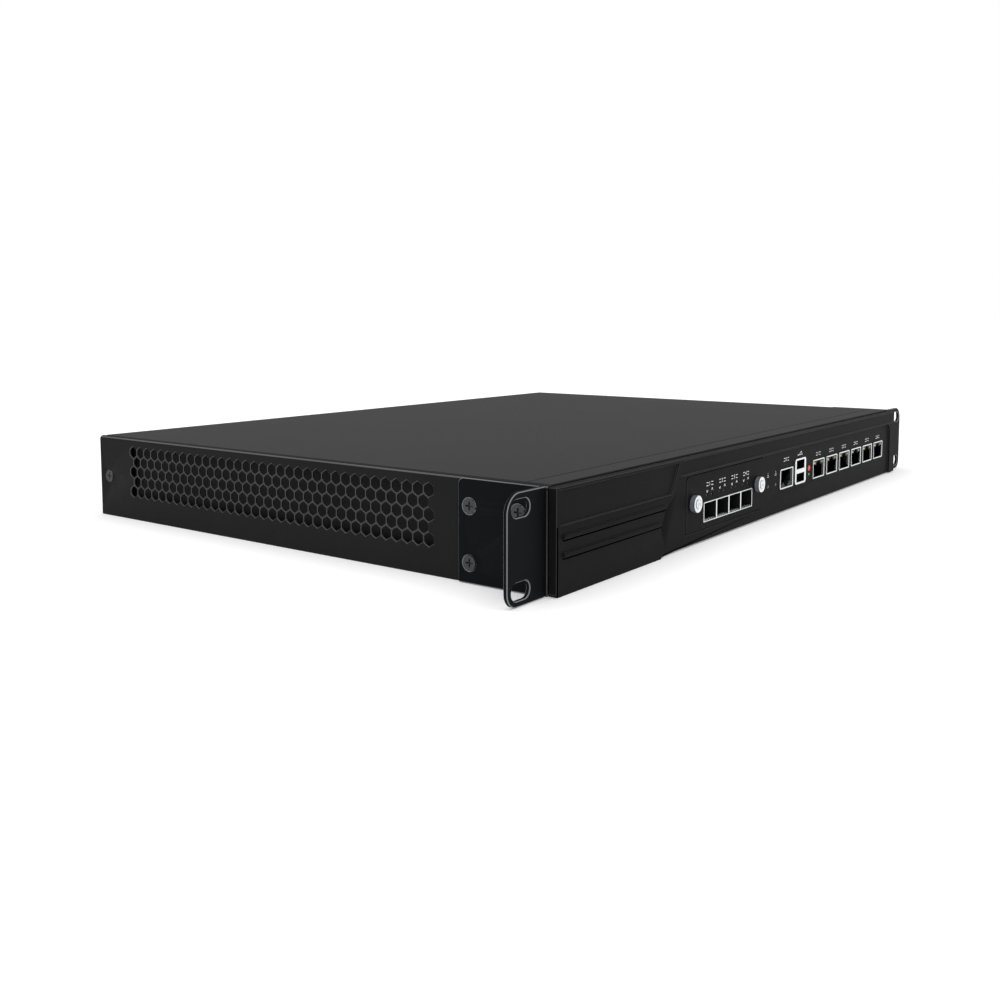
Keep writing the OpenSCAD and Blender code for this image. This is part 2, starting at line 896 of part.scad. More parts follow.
// Network module that slides out of the front
module module_faceplate() {
    through = module_plate_t + 2 * past;
    color("dimgray") difference() {
        union() {
            along_y(port_y, module_plate_t) module_outline(0, 0);
            for (s = [-1, 1]) {
                translate([cage_x + s * 31, 0, card_z]) slab([-1.5, card_y, 0], [1.5, card_y + 7, 3]);
            }
        }
        along_y(port_y - past, through) translate([cage_x, card_z + cage_h / 2])
            square([cage_w + gap, cage_h + gap], center = true);
        for (i = [0:3]) {
            for (s = [-1, 1]) {
                rod_y(port_x(i) + s * sfp_led_step, port_y - past, sfp_led_z, sfp_led_d, through);
            }
        }
        for (x = knob_x) {
            rod_y(x, port_y - past, knob_z, 2 * ferrule_r, through);
        }
    }
}

module module_card() {
    z = card_z - board_t;
    y1 = module_l - tongue_l;
    color("darkgreen") translate([cage_x, card_y, 0]) {
        slab([-card_w / 2, gap, z], [card_w / 2, y1, card_z]);
        slab([-tongue_w / 2, y1, z], [tongue_w / 2, module_l, card_z]);
        slab([-switch_chip[0], switch_chip[1], card_z],
            [switch_chip[0], switch_chip[2], card_z + switch_chip_h]);
        for (x = [-24, 24]) {
            translate([x, 120, card_z]) cylinder(d = 8, h = 8);
        }
    }
}

module sfp_cage() {
    y0 = port_y - cage_out;
    color("silver") difference() {
        slab([cage_x - cage_w / 2, y0, card_z], [cage_x + cage_w / 2, y0 + cage_l, card_z + cage_h]);
        for (i = [0:3]) {
            slab([port_x(i) - sfp_pitch / 2 + cage_t, y0 - past, card_z + cage_t],
                [port_x(i) + sfp_pitch / 2 - cage_t, y0 + cage_l - 1, card_z + cage_h - cage_t]);
        }
    }
}

module sfp_connectors() {
    color("black") for (i = [0:3]) {
        slab([port_x(i) - 5, port_y + 36, card_z + cage_t], [port_x(i) + 5, port_y + 46, card_z + 5.4]);
    }
}

module module_heatsink() {
    z = card_z + switch_chip_h;
    half = switch_chip[0] + sink_over;
    y0 = switch_chip[1] - sink_over;
    y1 = switch_chip[2] + sink_over;
    color("silver") translate([cage_x, card_y, 0]) {
        slab([-half, y0, z], [half, y1, z + 3]);
        for (i = [-6:6]) {
            slab([i * 3.2 - 0.5, y0, z + 3], [i * 3.2 + 0.5, y1, z + 14]);
        }
    }
}

// Captive thumbscrews: a ferrule in the faceplate, a spring, a washer and the screw
module thumbscrew_ferrules() {
    color("silver") for (x = knob_x) {
        difference() {
            rod_y(x, ferrule_y, knob_z, 2 * ferrule_r, module_plate_t + 0.5);
            rod_y(x, ferrule_y - past, knob_z, 2 * (m3_r + fit), module_plate_t + 2);
        }
    }
}

module thumbscrew_spring(x) {
    l = (spring_coils - 1) * spring_pitch;
    y1 = ferrule_y - 0.1 - wire_r;
    color("silver") {
        for (i = [0:spring_coils - 1]) {
            translate([x, y1 - i * spring_pitch, knob_z]) rotate([90, 0, 0]) ring(spring_r, wire_r);
        }
        for (s = [-1, 1]) {
            rod_y(x + s * spring_r, y1 - l, knob_z, 1.5 * wire_r, l);
        }
    }
}

module thumbscrew_washer(x) {
    color("silver") difference() {
        rod_y(x, seat_y + fit, knob_z, 5.4, washer_t);
        rod_y(x, seat_y - past, knob_z, 2 * (m3_r + fit), 2);
    }
}

// A short barrel with a ring and a cross sunk in its face, hollow at the back around the spring
module thumbscrew(x) {
    color("silver") difference() {
        union() {
            rod_y(x, head_y, knob_z, knob_d, head_t);
            rod_y(x, seat_y, knob_z, skirt_d, port_y - gap - seat_y);
        }
        rod_y(x, seat_y, knob_z, skirt_bore, 5);
        difference() {
            rod_y(x, head_y - past, knob_z, 5.6, past + 0.3);
            rod_y(x, head_y - 2 * past, knob_z, 4, 4 * past);
        }
        for (a = [0, 90]) {
            translate([x, head_y, knob_z]) rotate([0, a, 0]) slab([-1.5, -past, -0.35], [1.5, 0.6, 0.35]);
        }
    }
    color("silver") rod_y(x, seat_y, knob_z, 2 * m3_r, wall_y + boss_l - seat_y);
}

// Power supply
module power_supply_case() {
    z1 = sheet_t + psu_h;
    color("silver") difference() {
        slab([psu_lo[0], psu_lo[1], sheet_t], [psu_hi[0], psu_hi[1], z1]);
        slab([psu_lo[0] + 1, psu_lo[1] + 1, sheet_t + 1], [psu_hi[0] - 1, psu_hi[1] + past, z1 - 1]);
        for (i = [0:9]) {
            y = psu_lo[1] + 12 + i * 7;
            slab([psu_lo[0] - past, y, 10], [psu_lo[0] + 2, y + 3, 32]);
        }
        slab([header_x[0], psu_lo[1] - past, 24], [header_x[1], psu_lo[1] + 2, 30]);
    }
}

module power_supply_board() {
    z = sheet_t + 5;
    color("darkgreen") {
        slab([psu_lo[0] + 2, psu_lo[1] + 2, z], [psu_hi[0] - 2, psu_hi[1] - 26, z + board_t]);
        for (p = [[-40, -30], [36, -34]]) {
            slab([psu_lo[0] + 55 + p[0] - 9, psu_lo[1] + 46 + p[1] - 9, z + board_t],
                [psu_lo[0] + 55 + p[0] + 9, psu_lo[1] + 46 + p[1] + 9, z + 24]);
        }
        for (i = [0:2]) {
            translate([psu_lo[0] + 20 + i * 20, psu_lo[1] + 46, z + board_t]) cylinder(d = 14, h = 24);
        }
        for (x = [psu_lo[0] + 6, psu_hi[0] - 6]) {
            for (y = [psu_lo[1] + 6, psu_lo[1] + 60]) {
                translate([x, y, sheet_t + 1]) cylinder(d = 4, h = 4);
            }
        }
    }
}

// Places for the three pins, seen from the front of the case
module at_inlet_pins(y) {
    for (p = [[-7, -2], [0, 2], [7, -2]]) {
        translate([inlet_x + p[0], y, inlet_z + p[1]]) children();
    }
}

module ac_inlet() {
    flange = [25, 12];
    color("black") difference() {
        union() {
            along_y(back_y, inlet_flange_t) translate([inlet_x, inlet_z])
                plate(-flange, flange, [5, 5, 5, 5]);
            along_y(back_y - 22, 22) translate([inlet_x, inlet_z]) square(inlet_body, center = true);
        }
        along_y(back_y - 16, 19) translate([inlet_x, inlet_z])
            polygon([[-12.3, -8.3], [12.3, -8.3], [12.3, 4.6], [8.6, 8.3], [-8.6, 8.3], [-12.3, 4.6]]);
        for (s = [-1, 1]) {
            rod_y(inlet_x + s * inlet_hole_x, back_y - 1, inlet_z, 3.1, 4);
        }
        at_inlet_pins(back_y - 23) slab([-1, 0, -2], [1, 8, 2]);
    }
}

module inlet_pins() {
    color("silver") at_inlet_pins(back_y - 26) slab([-1, 0, -2], [1, 25, 2]);
}

module switch_frame() {
    flange = rocker_body / 2 + [1, 0.9];
    color("black") translate([rocker_x, 0, inlet_z]) difference() {
        union() {
            along_y(back_y, 1.4) plate(-flange, flange, [1, 1, 1, 1]);
            along_y(back_y - 14, 14) square(rocker_body, center = true);
        }
        along_y(back_y - 9, 12) square([10.4, 16.4], center = true);
        translate([0, rocker_y, 0]) rotate([0, 90, 0]) cylinder(d = pivot_d + 2 * fit, h = 12, center = true);
    }
}

// Rocker on its pivot, tipped to one side
module switch_rocker() {
    color("black") translate([rocker_x, rocker_y, inlet_z]) rotate([rocker_tilt, 0, 0]) {
        rotate([0, 90, 0]) cylinder(d = pivot_d, h = 11.6, center = true);
        difference() {
            along_x(-5, 10) intersection() {
                translate([-22, 0]) circle(26.5, $fn = 96);
                translate([-3, -7.4]) square([9, 14.8]);
            }
            along_x(-6, 12) translate([25.4, 0]) circle(22.6, $fn = 96);
        }
    }
}

// Fans
module fan_frame(x) {
    color("black") translate([x, fan_y, fan_z]) difference() {
        slab([-fan / 2, 0, -fan / 2], [fan / 2, fan_t, fan / 2]);
        rod_y(0, 4, 0, fan_bore, fan_t);
        difference() {
            rod_y(0, -past, 0, fan_bore, 5);
            rod_y(0, -2 * past, 0, fan_hub_d, 6);
            for (a = [0:90:270]) {
                rotate([0, a, 0]) slab([0, -2 * past, -1.4], [fan / 2, 4, 1.4]);
            }
        }
        for (sx = [-1, 1]) {
            for (sz = [-1, 1]) {
                rod_y(sx * fan_hole, -past, sz * fan_hole, 3.4, fan_t + 2 * past);
            }
        }
        rod_y(0, -past, 0, fan_shaft_d + 2 * fit, 5);
    }
}

module fan_rotor(x) {
    color("black") translate([x, fan_y, fan_z]) {
        rod_y(0, 1, 0, fan_shaft_d, 4);
        rod_y(0, 4.4, 0, fan_hub_d, fan_t - 5.4);
        for (i = [0:blades - 1]) {
            rotate([0, i * 360 / blades, 0]) translate([fan_hub_d / 2 - gap, 11.5, 0]) rotate([38, 0, 0])
                slab([0, -7, -0.5], [7.6, 7, 0.5]);
        }
    }
}

module ground_stud() {
    color("goldenrod") {
        rod_y(stud_x, back_y - 5, stud_z, stud_d, 5 + stud_out);
        for (y = [back_y - sheet_t - nut_h, back_y]) {
            translate([stud_x, y, stud_z]) rotate([-90, 0, 0]) difference() {
                cylinder(r = hex_r(7), h = nut_h, $fn = 6);
                translate([0, 0, -past]) cylinder(d = stud_d, h = nut_h + 2 * past);
            }
        }
    }
}

module power_leads() {
    color("gold") for (i = [0:5]) {
        rod_y(lead_x + i * lead_step, header_y[1], lead_z, 1.8, psu_lo[1] + 1 - header_y[1]);
    }
    color("white") slab([header_x[0] + 1, header_y[0], board_z + header_h],
        [header_x[1] - 1, header_y[1], lead_z + 3]);
}

chassis_floor();
left_side_panel();
right_side_panel();
top_cover();
front_top_rail();
front_wall();
front_bezel();
rear_panel();
left_rack_ear();
right_rack_ear();
case_screws();
lan_jack(0);  // lan_jack_1
lan_jack(1);  // lan_jack_2
lan_jack(2);  // lan_jack_3
lan_jack(3);  // lan_jack_4
lan_jack(4);  // lan_jack_5
lan_jack(5);  // lan_jack_6
console_jack();
usb_shell();
usb_tongues();
reset_button();
reset_spring();
reset_switch();
light_pipes();
motherboard();
board_standoffs();
board_screws();
processor();
processor_heatsink();
memory_modules();
memory_sockets();
storage_card();
coin_cell();
backplane_board();
module_socket();
module_guides();
module_faceplate();
module_card();
sfp_cage();
sfp_connectors();
module_heatsink();
thumbscrew_ferrules();
thumbscrew_spring(knob_x[0]);  // left_thumbscrew_spring
thumbscrew_spring(knob_x[1]);  // right_thumbscrew_spring
thumbscrew_washer(knob_x[0]);  // left_thumbscrew_washer
thumbscrew_washer(knob_x[1]);  // right_thumbscrew_washer
thumbscrew(knob_x[0]);  // left_thumbscrew
thumbscrew(knob_x[1]);  // right_thumbscrew
power_supply_case();
power_supply_board();
ac_inlet();
inlet_pins();
switch_frame();
switch_rocker();
fan_frame(fan_x[0]);  // left_fan_frame
fan_rotor(fan_x[0]);  // left_fan_rotor
fan_frame(fan_x[1]);  // right_fan_frame
fan_rotor(fan_x[1]);  // right_fan_rotor
ground_stud();
power_leads();
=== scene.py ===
import json
import math
import random

import bmesh
import bpy
from mathutils import Matrix, Vector


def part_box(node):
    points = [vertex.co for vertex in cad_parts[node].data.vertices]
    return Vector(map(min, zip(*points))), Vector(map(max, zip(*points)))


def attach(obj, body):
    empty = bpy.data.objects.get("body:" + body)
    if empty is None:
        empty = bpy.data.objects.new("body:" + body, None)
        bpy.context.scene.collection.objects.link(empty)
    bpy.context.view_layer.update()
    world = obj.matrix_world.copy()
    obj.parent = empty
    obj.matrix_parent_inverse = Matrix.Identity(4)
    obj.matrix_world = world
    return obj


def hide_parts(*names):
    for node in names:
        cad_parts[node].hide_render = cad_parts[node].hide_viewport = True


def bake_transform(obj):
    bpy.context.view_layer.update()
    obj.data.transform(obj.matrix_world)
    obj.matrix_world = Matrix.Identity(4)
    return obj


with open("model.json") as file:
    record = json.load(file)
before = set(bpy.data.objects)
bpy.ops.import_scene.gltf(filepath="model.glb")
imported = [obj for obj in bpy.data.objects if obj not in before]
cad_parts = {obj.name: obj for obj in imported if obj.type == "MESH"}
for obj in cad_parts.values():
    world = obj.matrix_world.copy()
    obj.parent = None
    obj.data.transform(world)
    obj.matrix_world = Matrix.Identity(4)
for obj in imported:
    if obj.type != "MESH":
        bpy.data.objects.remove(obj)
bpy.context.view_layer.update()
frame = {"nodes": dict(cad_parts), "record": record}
MM = 0.001
CASE = "case"
MODULE = "network_module"
rng = random.Random(7)

# Sockets of the Mix node when it mixes colours
COLOR_A, COLOR_B, COLOR_OUT = 6, 7, 2
PAD_COLOR = (0.55, 0.42, 0.16, 1)
BRICK_SCALE = 180.0
PAD_SCALE = 260.0

# How CAD nodes are cleaned and their edges broken
WELD = 1e-6
FLAT_ANGLE = math.radians(0.6)
BEVEL_ANGLE = math.radians(28)
SHARP_ANGLE = math.radians(16)
SHORTEST_EDGE = 0.3 * MM

# Light and camera
SKY_LIGHT = 0.55
SKY_SEEN = 1.0
SUN_SPREAD = math.radians(100)
SUN_POWER = 1.9
SUN_TILT = (math.radians(8), math.radians(-10), 0)
FLOOR_HALF = 30.0
FLOOR_GLOW = 0.2
LENS = 38.52
SENSOR = 36.0
SHIFT_Y = -0.0909
CAMERA_X, CAMERA_BEFORE_EAR, CAMERA_Z = -0.5553, 0.2312, 0.1091
CAMERA_TURN = math.radians(53.25)
CAMERA_TILT = math.radians(-4.89)


# ---------------------------------------------------------------- materials
def node_tree(name):
    mat = bpy.data.materials.new(name)
    mat.use_nodes = True
    tree = mat.node_tree
    return mat, tree, tree.nodes["Principled BSDF"]


def add(tree, kind, **values):
    node = tree.nodes.new(kind)
    for key, value in values.items():
        if key in node.inputs:
            node.inputs[key].default_value = value
        else:
            setattr(node, key, value)
    return node


def shade(color, factor):
    return tuple(min(1.0, c * factor) for c in color) + (1.0,)


def object_coords(tree, stretch=(1, 1, 1)):
    coords = add(tree, "ShaderNodeTexCoord")
    mapping = add(tree, "ShaderNodeMapping")
    mapping.inputs["Scale"].default_value = stretch
    tree.links.new(coords.outputs["Object"], mapping.inputs["Vector"])
    return mapping.outputs["Vector"]


def noise(tree, coords, scale, detail=3.0):
    node = add(tree, "ShaderNodeTexNoise", Scale=scale, Detail=detail)
    tree.links.new(coords, node.inputs["Vector"])
    return node.outputs["Fac"]


def ranged(tree, value, low, high, start=0.3, end=0.7):
    node = add(tree, "ShaderNodeMapRange")
    for key, number in (("From Min", start), ("From Max", end), ("To Min", low), ("To Max", high)):
        node.inputs[key].default_value = number
    tree.links.new(value, node.inputs["Value"])
    return node.outputs["Result"]


def blend_colors(tree, factor, first, second):
    node = add(tree, "ShaderNodeMix", data_type="RGBA")
    node.inputs[COLOR_A].default_value = first
    node.inputs[COLOR_B].default_value = second
    tree.links.new(factor, node.inputs["Factor"])
    return node.outputs[COLOR_OUT]


def bump(tree, bsdf, height, strength, distance):
    node = add(tree, "ShaderNodeBump", Strength=strength, Distance=distance)
    tree.links.new(height, node.inputs["Height"])
    tree.links.new(node.outputs["Normal"], bsdf.inputs["Normal"])


def surface(name, color, rough, metallic=0.0, specular=0.5, vary=0.1, grain=1500.0, patch=18.0,
            strength=0.3, depth=0.00003, spread=0.07, stretch=(1, 1, 1), coat=0.0):
    """Paint, plastic or metal: fine grain in the relief and gloss, broad drift in the colour."""
    mat, tree, bsdf = node_tree(name)
    coords = object_coords(tree, stretch)
    fine = noise(tree, coords, grain, 2.0)
    broad = noise(tree, coords, patch, 5.0)
    tint = blend_colors(tree, ranged(tree, broad, 0, 1), shade(color, 1 - vary), shade(color, 1 + vary))
    tree.links.new(tint, bsdf.inputs["Base Color"])
    tree.links.new(ranged(tree, fine, rough - spread, rough + spread), bsdf.inputs["Roughness"])
    bsdf.inputs["Metallic"].default_value = metallic
    bsdf.inputs["Specular IOR Level"].default_value = specular
    bsdf.inputs["Coat Weight"].default_value = coat
    bump(tree, bsdf, fine, strength, depth)
    return mat


def board_material(name, color, trace):
    """Solder mask over copper tracks, with small pads."""
    mat, tree, bsdf = node_tree(name)
    coords = object_coords(tree)
    tracks = add(tree, "ShaderNodeTexBrick", Scale=BRICK_SCALE)
    tracks.inputs["Mortar Size"].default_value = 0.035
    tree.links.new(coords, tracks.inputs["Vector"])
    pads = add(tree, "ShaderNodeTexVoronoi", Scale=PAD_SCALE)
    tree.links.new(coords, pads.inputs["Vector"])
    line = blend_colors(tree, tracks.outputs["Fac"], shade(color, 1.0), shade(trace, 1.0))
    dots = ranged(tree, pads.outputs["Distance"], 1, 0, 0.1, 0.16)
    mix = add(tree, "ShaderNodeMix", data_type="RGBA")
    tree.links.new(dots, mix.inputs["Factor"])
    tree.links.new(line, mix.inputs[COLOR_A])
    mix.inputs[COLOR_B].default_value = PAD_COLOR
    tree.links.new(mix.outputs[COLOR_OUT], bsdf.inputs["Base Color"])
    tree.links.new(ranged(tree, noise(tree, coords, 60.0), 0.3, 0.45), bsdf.inputs["Roughness"])
    bump(tree, bsdf, tracks.outputs["Fac"], 0.3, 0.00003)
    return mat


MATERIALS = {
    "sheet_dark": surface("dark_powder_coat", (0.0125, 0.0125, 0.0129), 0.62, specular=0.06),
    # The top cover's coat is set lighter than the same black coat on the side panels. This is painted light
    # for the top, which takes more light from above.
    "cover_grey": surface("cover_coat_painted_top_light", (0.022, 0.022, 0.0224), 0.55, specular=0.085, vary=0.06),
    "bezel_grey": surface("bezel_texture", (0.0085, 0.0085, 0.0088), 0.6, specular=0.05, grain=2200.0),
    "ear_black": surface("ear_powder_coat", (0.0042, 0.0053, 0.0064), 0.55, specular=0.04),
    "zinc_sheet": surface("zinc_plate", (0.5, 0.51, 0.52), 0.38, metallic=1.0, patch=90.0, vary=0.14),
    "port_metal": surface("nickel_shell", (0.8, 0.81, 0.82), 0.3, metallic=1.0, patch=160.0, vary=0.06,
                          grain=2600.0, strength=0.12),
    "fastener_steel": surface("screw_nickel", (0.86, 0.87, 0.88), 0.35, metallic=1.0, patch=220.0, vary=0.06,
                              grain=3000.0, strength=0.1),
    "fastener_black": surface("black_zinc", (0.035, 0.035, 0.037), 0.5, metallic=0.2, patch=220.0,
                              grain=3000.0),
    "spring_steel": surface("spring_wire", (0.6, 0.6, 0.62), 0.3, metallic=1.0, grain=4000.0),
    "brass": surface("turned_brass", (0.72, 0.52, 0.22), 0.3, metallic=1.0, stretch=(1, 30, 1)),
    "tongue_teal": surface("teal_tongue", (0.01, 0.5, 0.56), 0.4, vary=0.08, grain=2500.0),
    "button_red": surface("red_button", (0.62, 0.03, 0.02), 0.35, vary=0.08, grain=2500.0),
    "light_guide": surface("light_guide", (0.012, 0.016, 0.013), 0.25, vary=0.2, coat=0.2),
    "board_green": board_material("green_board", (0.012, 0.1, 0.03), (0.02, 0.17, 0.05)),
    "black_plastic": surface("black_moulding", (0.008, 0.008, 0.008), 0.5, specular=0.25, grain=1800.0),
    "rotor_black": surface("rotor_moulding", (0.016, 0.016, 0.017), 0.42, specular=0.4, grain=1200.0),
    "rocker_black": surface("rocker_gloss", (0.015, 0.015, 0.015), 0.25, specular=0.5, grain=900.0,
                            strength=0.1),
    "heatsink_alu": surface("extruded_aluminium", (0.72, 0.73, 0.75), 0.34, metallic=1.0, stretch=(60, 1, 60),
                            grain=300.0, patch=30.0),
    "chip_metal": surface("spreader_nickel", (0.7, 0.7, 0.71), 0.3, metallic=1.0, patch=80.0),
    "lead_yellow": surface("wire_insulation", (0.72, 0.55, 0.03), 0.45, vary=0.1),
}
GOLD = surface("contact_gold", (0.83, 0.6, 0.24), 0.25, metallic=1.0, grain=4000.0, strength=0.1)
PRINT = surface("white_print", (0.82, 0.82, 0.82), 0.6, vary=0.04, grain=5000.0, strength=0.5)
YELLOW_LENS = surface("yellow_lens", (0.42, 0.36, 0.06), 0.3, vary=0.15, coat=0.3)
GREEN_LENS = surface("green_lens", (0.05, 0.16, 0.05), 0.3, vary=0.15, coat=0.3)
LIT_GREEN = surface("lit_green", (0.1, 0.6, 0.12), 0.3, vary=0.15, coat=0.3)
CHIP = surface("chip_package", (0.015, 0.015, 0.016), 0.55, grain=2600.0)
CERAMIC = surface("ceramic", (0.42, 0.3, 0.2), 0.5, vary=0.2, patch=400.0)
TIN = surface("solder_tin", (0.66, 0.67, 0.68), 0.35, metallic=1.0, grain=3000.0)
SCREEN = surface("vent_screen", (0.012, 0.012, 0.013), 0.7, specular=0.1, grain=900.0, strength=0.6)
# Painted highlight: a lighter coat on the bevel faces of the bezel and module faceplate, standing in for
# light caught along their edges.
PAINTED_EDGE_HIGHLIGHT = surface("painted_edge_highlight", (0.034, 0.034, 0.035), 0.6, specular=0.1)
# Painted highlight: a lighter coat on the bevel faces of the side panels, round every vent hole, and of the
# case screws, standing in for light caught by those rims.
PAINTED_RIM_HIGHLIGHT = surface("painted_rim_highlight", (0.075, 0.075, 0.077), 0.6, specular=0.15)
# Painted highlight: a light coat on the bevel faces of the rack ears, standing in for light caught along
# their top and side edges.
PAINTED_EAR_EDGE_HIGHLIGHT = surface("painted_ear_edge_highlight", (0.17, 0.175, 0.185), 0.5, specular=0.2)
# Painted highlight: a lighter line on the rounded top bend of each side panel, standing in for light caught
# by the bend.
PAINTED_BEND_HIGHLIGHT = surface("painted_bend_highlight", (0.085, 0.085, 0.088), 0.5, specular=0.2)
PALE_FACE = surface("screw_face", (0.9, 0.91, 0.92), 0.45, metallic=0.4, grain=3000.0, strength=0.1)
DARK_NICKEL = surface("dark_nickel", (0.3, 0.33, 0.38), 0.4, metallic=0.5, grain=3000.0)
# Painted shade: a near-black, unreflecting coat for the walls of narrow grooves and for the strips in the
# gaps, so that they read as shadow.
PAINTED_SEAM_SHADE = surface("painted_seam_shade", (0.0008, 0.0008, 0.0008), 0.9, specular=0.0, grain=900.0)
PALE_BAR = surface("pale_bar", (0.6, 0.75, 0.76), 0.45, vary=0.06, grain=3000.0)

SLOT_OF = {row["node"]: row["material_slot"] for row in frame["record"]["subparts"]}
BODY_OF = {node: body for body, nodes in frame["record"]["behaviour"]["bodies"].items() for node in nodes}


def dress(obj, mat):
    if obj.data.materials:
        for slot in obj.material_slots:
            slot.material = mat
    else:
        obj.data.materials.append(mat)


# ---------------------------------------------------------------- pieces
def finish_piece(obj, body, slot, *mats):
    obj.data.materials.clear()
    for mat in mats:
        obj.data.materials.append(mat)
    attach(obj, body)
    return obj


def new_piece(name, mesh_data):
    mesh = bpy.data.meshes.new(name)
    mesh_data.to_mesh(mesh)
    mesh_data.free()
    obj = bpy.data.objects.new(name, mesh)
    bpy.context.scene.collection.objects.link(obj)
    return obj


def soften(node, width, edge_mat=None, choose=None, extra=None):
    """Stands for a CAD node with the same shape, broken edges and, where choose says so, other faces."""
    bm = bmesh.new()
    bm.from_mesh(frame["nodes"][node].data)
    bmesh.ops.remove_doubles(bm, verts=bm.verts, dist=WELD)
    bmesh.ops.dissolve_limit(bm, angle_limit=FLAT_ANGLE, verts=bm.verts, edges=bm.edges)
    edges = [edge for edge in bm.edges if edge.is_manifold and edge.calc_face_angle(0) > BEVEL_ANGLE
             and edge.calc_length() > SHORTEST_EDGE]
    # Bevel faces take the second material. For the side panels, ears, bezel, faceplate and case screws, that
    # material is a painted edge highlight.
    bmesh.ops.bevel(bm, geom=edges, offset=width * MM, offset_type="OFFSET", segments=1, affect="EDGES",
                    clamp_overlap=False, material=1)
    obj = new_piece(node + ".soft", bm)
    base = MATERIALS[SLOT_OF[node]]
    mats = [base, edge_mat or base] + ([extra] if extra else [])
    for mat in mats:
        obj.data.materials.append(mat)
    obj.data.shade_smooth()
    obj.data.set_sharp_from_angle(angle=SHARP_ANGLE)
    kept = [poly.material_index for poly in obj.data.polygons]
    if choose:
        for poly in obj.data.polygons:
            picked = choose(poly.center, poly.normal, poly.material_index)
            kept[poly.index] = poly.material_index if picked is None else picked
    finish_piece(obj, BODY_OF[node], SLOT_OF[node], *mats)
    for poly in obj.data.polygons:
        poly.material_index = kept[poly.index]
    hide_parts(node)
    return obj


def add_box(bm, lo, hi, round_mm=0.0):
    lo, hi = Vector(lo), Vector(hi)
    size = hi - lo
    matrix = Matrix.Translation((lo + hi) / 2) @ Matrix.Diagonal((size.x, size.y, size.z, 1))
    made = bmesh.ops.create_cube(bm, size=1.0, matrix=matrix)
    if round_mm > 0:
        edges = list({edge for vert in made["verts"] for edge in vert.link_edges})
        bmesh.ops.bevel(bm, geom=edges, offset=round_mm * MM, segments=2, affect="EDGES", profile=0.6)


def add_rod(bm, start, end, radius, sides=12):
    start, end = Vector(start), Vector(end)
    axis = end - start
    turn = axis.to_track_quat("Z", "Y").to_matrix().to_4x4()
    matrix = Matrix.Translation((start + end) / 2) @ turn
    bmesh.ops.create_cone(bm, cap_ends=True, segments=sides, radius1=radius, radius2=radius,
                          depth=axis.length, matrix=matrix)


def add_strip(bm, path, width, thick, side=(1, 0, 0)):
    """A bent metal strip through the points of path, as wide as width along side."""
    side = Vector(side).normalized()
    points = [Vector(p) for p in path]
    rings = []
    for i, point in enumerate(points):
        ahead = points[min(i + 1, len(points) - 1)] - points[max(i - 1, 0)]
        normal = ahead.cross(side).normalized()
        ring = []
        for a, b in ((-1, -1), (1, -1), (1, 1), (-1, 1)):
            ring.append(bm.verts.new(point + side * (a * width / 2) + normal * (b * thick / 2)))
        rings.append(ring)
    for first, second in zip(rings, rings[1:]):
        for k in range(4):
            bm.faces.new((first[k], first[(k + 1) % 4], second[(k + 1) % 4], second[k]))
    bm.faces.new(rings[0][::-1])
    bm.faces.new(rings[-1])


def text_mesh(name, words, size, x, y, z, depth=0.04):
    curve = bpy.data.curves.new(name, "FONT")
    curve.body = words
    curve.size = size * MM
    curve.align_x = "CENTER"
    curve.align_y = "CENTER"
    curve.extrude = depth * MM / 2
    curve.resolution_u = 4
    holder = bpy.data.objects.new(name + ".curve", curve)
    bpy.context.scene.collection.objects.link(holder)
    bpy.context.view_layer.update()
    mesh = bpy.data.meshes.new_from_object(holder.evaluated_get(bpy.context.evaluated_depsgraph_get()))
    bpy.data.objects.remove(holder)
    mesh.transform(Matrix.Translation((x, y, z)) @ Matrix.Rotation(math.pi / 2, 4, "X"))
    return mesh


# ---------------------------------------------------------------- places
def middle(node):
    lo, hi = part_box(node)
    return (lo + hi) / 2


NODES = frame["nodes"]
ear_face_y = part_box("left_rack_ear")[0].y
bezel_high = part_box("front_bezel")[1]
face_low, face_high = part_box("module_faceplate")
port_y = face_low.y
body_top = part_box("top_cover")[1].z
jack_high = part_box("lan_jack_1")[1]
jack_mid = middle("lan_jack_1")
JACKS = ["lan_jack_%d" % i for i in range(1, 7)]
cage_low, cage_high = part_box("sfp_cage")
SFP_PITCH = 14.25 * MM
SFP_X = [(cage_low.x + cage_high.x) / 2 + (i - 1.5) * SFP_PITCH for i in range(4)]
SFP_LAMP_OFF = 2.8 * MM
lamp_z = cage_high.z + 3.0 * MM
rail_seam_y = ear_face_y + 12.3 * MM
STATUS_X = [-6.2 * MM, 4.2 * MM]
LABEL_SIZE = 3.0

for node, obj in NODES.items():
    dress(obj, MATERIALS[SLOT_OF[node]])


# ---------------------------------------------------------------- softened CAD nodes
def jack_faces(node):
    lo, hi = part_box(node)
    mid_x, mid_z = (lo.x + hi.x) / 2, jack_mid.z

    def choose(center, normal, index):
        dx, dz = abs(center.x - mid_x), abs(center.z - mid_z)
        if center.y > lo.y + 0.2 * MM and dz < 4.95 * MM and (dx < 7.9 * MM or center.y < port_y):
            return 2 if dx < 8.75 * MM else None
        return None
    return choose


def usb_faces(center, normal, index):
    mid = middle("usb_shell")
    inside = abs(center.x - mid.x) < 6.3 * MM and abs(center.z - mid.z) < 6.5 * MM
    return 2 if inside and center.y > port_y - 0.45 * MM and center.y < port_y + 15 * MM else None


def cage_faces(center, normal, index):
    inside = cage_low.x + 0.4 * MM < center.x < cage_high.x - 0.4 * MM
    inside = inside and cage_low.z + 0.4 * MM < center.z < cage_high.z - 0.4 * MM
    return 2 if inside and cage_low.y + 0.3 * MM < center.y < cage_high.y - 0.4 * MM else None


